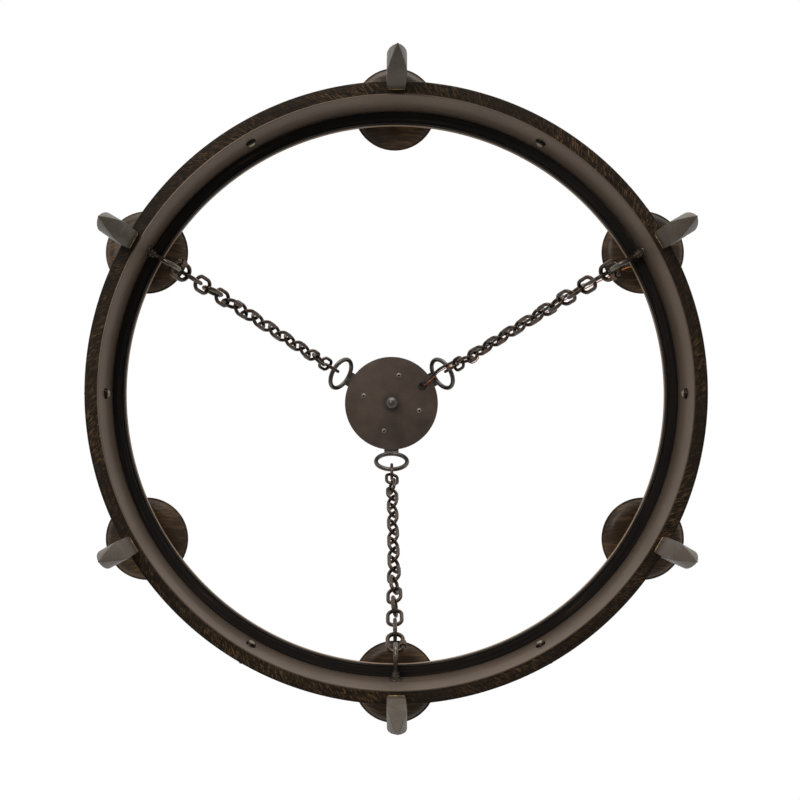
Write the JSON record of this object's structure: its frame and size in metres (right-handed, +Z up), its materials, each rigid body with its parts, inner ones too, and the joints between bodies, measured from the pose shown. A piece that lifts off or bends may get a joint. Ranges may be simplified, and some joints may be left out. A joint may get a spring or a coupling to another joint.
{
  "type": "wagon wheel chandelier",
  "caption": "Wheel-shaped chandelier with a wooden rim, spiked iron arms carrying candle lamps on dishes, hung by chains from a round ceiling canopy.",
  "frame": {"origin": "centre of the mounting bar's top face, on the ceiling plane", "axes": "+Z up into the ceiling; the object hangs down along -Z; lights stand at 30, 90, 150 degrees and so on about Z, chains at 90, 210 and 330 degrees, so +Y runs through a light and a chain"},
  "size_m": [0.831, 0.929, 0.6854],
  "materials": {
    "zinc_steel": "dull zinc",
    "canopy_bronze": "satin oil-rubbed bronze",
    "hardware_bronze": "satin oil-rubbed bronze",
    "chain_bronze": "satin oil-rubbed bronze",
    "liner_bronze": "satin bronze",
    "arm_bronze": "satin bronze with worn golden edges",
    "hoop_wood": "dark coffee stain with golden brushed streaks",
    "dish_lacquer": "glossy dark brown lacquer with golden streaks",
    "candle_ivory": "matte ivory",
    "socket_plastic": "matte",
    "nipple_brass": "plain",
    "lamp_glass": "frosted warm",
    "cord_black": "satin",
    "ground_copper": "bare",
    "connector_plastic": "matte"
  },
  "bodies": {
    "ceiling": {"mounting_bar": "zinc_steel", "centre_stud": "zinc_steel", "stud_nuts": "zinc_steel", "hanger_plate": "canopy_bronze", "canopy": "canopy_bronze", "canopy_screws": "hardware_bronze", "chain_rings": "chain_bronze", "cord_bushing": "cord_black", "wire_connectors": "connector_plastic"},
    "knob": {"canopy_knob": "hardware_bronze"},
    "wheel": {"wood_hoop": "hoop_wood", "hoop_liner": "liner_bronze", "cap_ring": "hoop_wood", "cap_edge_band": "liner_bronze", "wall_bolts": "hardware_bronze", "wall_nuts": "hardware_bronze", "arm_screws": "hardware_bronze", "eye_nuts": "hardware_bronze", "eye_washers": "hardware_bronze", "eye_bolt_1": "hardware_bronze", "eye_bolt_2": "hardware_bronze", "eye_bolt_3": "hardware_bronze", "lamp_wires": "cord_black", "lamp_sockets": "socket_plastic", "nipples": "nipple_brass", "arm_1": "arm_bronze", "arm_2": "arm_bronze", "arm_3": "arm_bronze", "arm_4": "arm_bronze", "arm_5": "arm_bronze", "arm_6": "arm_bronze", "drip_dish_1": "dish_lacquer", "drip_dish_2": "dish_lacquer", "drip_dish_3": "dish_lacquer", "drip_dish_4": "dish_lacquer", "drip_dish_5": "dish_lacquer", "drip_dish_6": "dish_lacquer", "candle_1": "candle_ivory", "candle_2": "candle_ivory", "candle_3": "candle_ivory", "candle_4": "candle_ivory", "candle_5": "candle_ivory", "candle_6": "candle_ivory"},
    "chain_1": {"chain_1": "chain_bronze", "screw_link_1": "chain_bronze"},
    "sleeve_1": {"link_sleeve_1": "chain_bronze"},
    "chain_2": {"chain_2": "chain_bronze", "screw_link_2": "chain_bronze"},
    "sleeve_2": {"link_sleeve_2": "chain_bronze"},
    "chain_3": {"chain_3": "chain_bronze", "screw_link_3": "chain_bronze", "supply_cord": "cord_black", "ground_wire": "ground_copper"},
    "sleeve_3": {"link_sleeve_3": "chain_bronze"},
    "lamp_1": {"lamp_1": "lamp_glass"},
    "lamp_2": {"lamp_2": "lamp_glass"},
    "lamp_3": {"lamp_3": "lamp_glass"},
    "lamp_4": {"lamp_4": "lamp_glass"},
    "lamp_5": {"lamp_5": "lamp_glass"},
    "lamp_6": {"lamp_6": "lamp_glass"}
  },
  "joints": [
    {"name": "knob_turn", "type": "hinge", "parent": "ceiling", "child": "knob", "pos_m": [0, 0, -0.03], "axis": [0, 0, 1], "continuous": true},
    {"name": "wheel_yaw", "type": "hinge", "parent": "ceiling", "child": "wheel", "pos_m": [0, 0, -0.56342], "axis": [0, 0, 1], "range_deg": [-6, 6]},
    {"name": "chain_1_swing", "type": "hinge", "parent": "ceiling", "child": "chain_1", "pos_m": [0, 0.10738, -0.04766], "axis": [0, 0.8829, 0.4695], "range_deg": [-4.5, 4.5]},
    {"name": "chain_2_swing", "type": "hinge", "parent": "ceiling", "child": "chain_2", "pos_m": [-0.09299, -0.05369, -0.04766], "axis": [-0.7646, -0.4415, 0.4695], "range_deg": [-4.5, 4.5]},
    {"name": "chain_3_swing", "type": "hinge", "parent": "ceiling", "child": "chain_3", "pos_m": [0.09299, -0.05369, -0.04766], "axis": [0.7646, -0.4415, 0.4695], "range_deg": [-4.5, 4.5], "deforming": ["supply_cord", "ground_wire"]},
    {"name": "sleeve_1_slide", "type": "slide", "parent": "chain_1", "child": "sleeve_1", "axis": [0, -0.4695, 0.8829], "range_m": [0, 0.006]},
    {"name": "sleeve_2_slide", "type": "slide", "parent": "chain_2", "child": "sleeve_2", "axis": [0.4066, 0.2348, 0.8829], "range_m": [0, 0.006]},
    {"name": "sleeve_3_slide", "type": "slide", "parent": "chain_3", "child": "sleeve_3", "axis": [-0.4066, 0.2348, 0.8829], "range_m": [0, 0.006]},
    {"name": "lamp_1_turn", "type": "hinge", "parent": "wheel", "child": "lamp_1", "pos_m": [0.35161, 0.203, -0.35592], "axis": [0, 0, 1], "continuous": true},
    {"name": "lamp_2_turn", "type": "hinge", "parent": "wheel", "child": "lamp_2", "pos_m": [0, 0.406, -0.35592], "axis": [0, 0, 1], "continuous": true},
    {"name": "lamp_3_turn", "type": "hinge", "parent": "wheel", "child": "lamp_3", "pos_m": [-0.35161, 0.203, -0.35592], "axis": [0, 0, 1], "continuous": true},
    {"name": "lamp_4_turn", "type": "hinge", "parent": "wheel", "child": "lamp_4", "pos_m": [-0.35161, -0.203, -0.35592], "axis": [0, 0, 1], "continuous": true},
    {"name": "lamp_5_turn", "type": "hinge", "parent": "wheel", "child": "lamp_5", "pos_m": [0, -0.406, -0.35592], "axis": [0, 0, 1], "continuous": true},
    {"name": "lamp_6_turn", "type": "hinge", "parent": "wheel", "child": "lamp_6", "pos_m": [0.35161, -0.203, -0.35592], "axis": [0, 0, 1], "continuous": true}
  ],
  "couplings": [
    {"joint": "chain_1_swing", "follows": "wheel_yaw", "ratio": 0.674},
    {"joint": "chain_2_swing", "follows": "wheel_yaw", "ratio": 0.674},
    {"joint": "chain_3_swing", "follows": "wheel_yaw", "ratio": 0.674}
  ]
}
